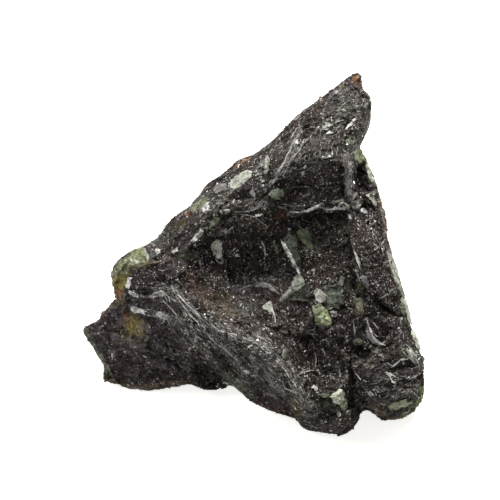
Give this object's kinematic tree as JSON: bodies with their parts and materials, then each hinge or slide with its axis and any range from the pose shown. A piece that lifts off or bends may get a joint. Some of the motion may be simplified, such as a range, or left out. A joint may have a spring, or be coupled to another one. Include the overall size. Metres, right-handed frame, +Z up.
{
  "type": "gymnite specimen",
  "caption": "Broken lump of dark serpentine-like rock with pale green waxy patches, lying on a flat break with its show face leaning back.",
  "frame": {"origin": "middle of the lump's footprint box, on the surface it rests on", "axes": "+Z up; +X to the right across the show face; -Y towards a viewer of the show face"},
  "size_m": [0.0586, 0.0544, 0.0327],
  "materials": {
    "gymnite_rock": "rough dark break with waxy pale green patches"
  },
  "bodies": {
    "root": {"gymnite_stone": "gymnite_rock"}
  },
  "joints": []
}
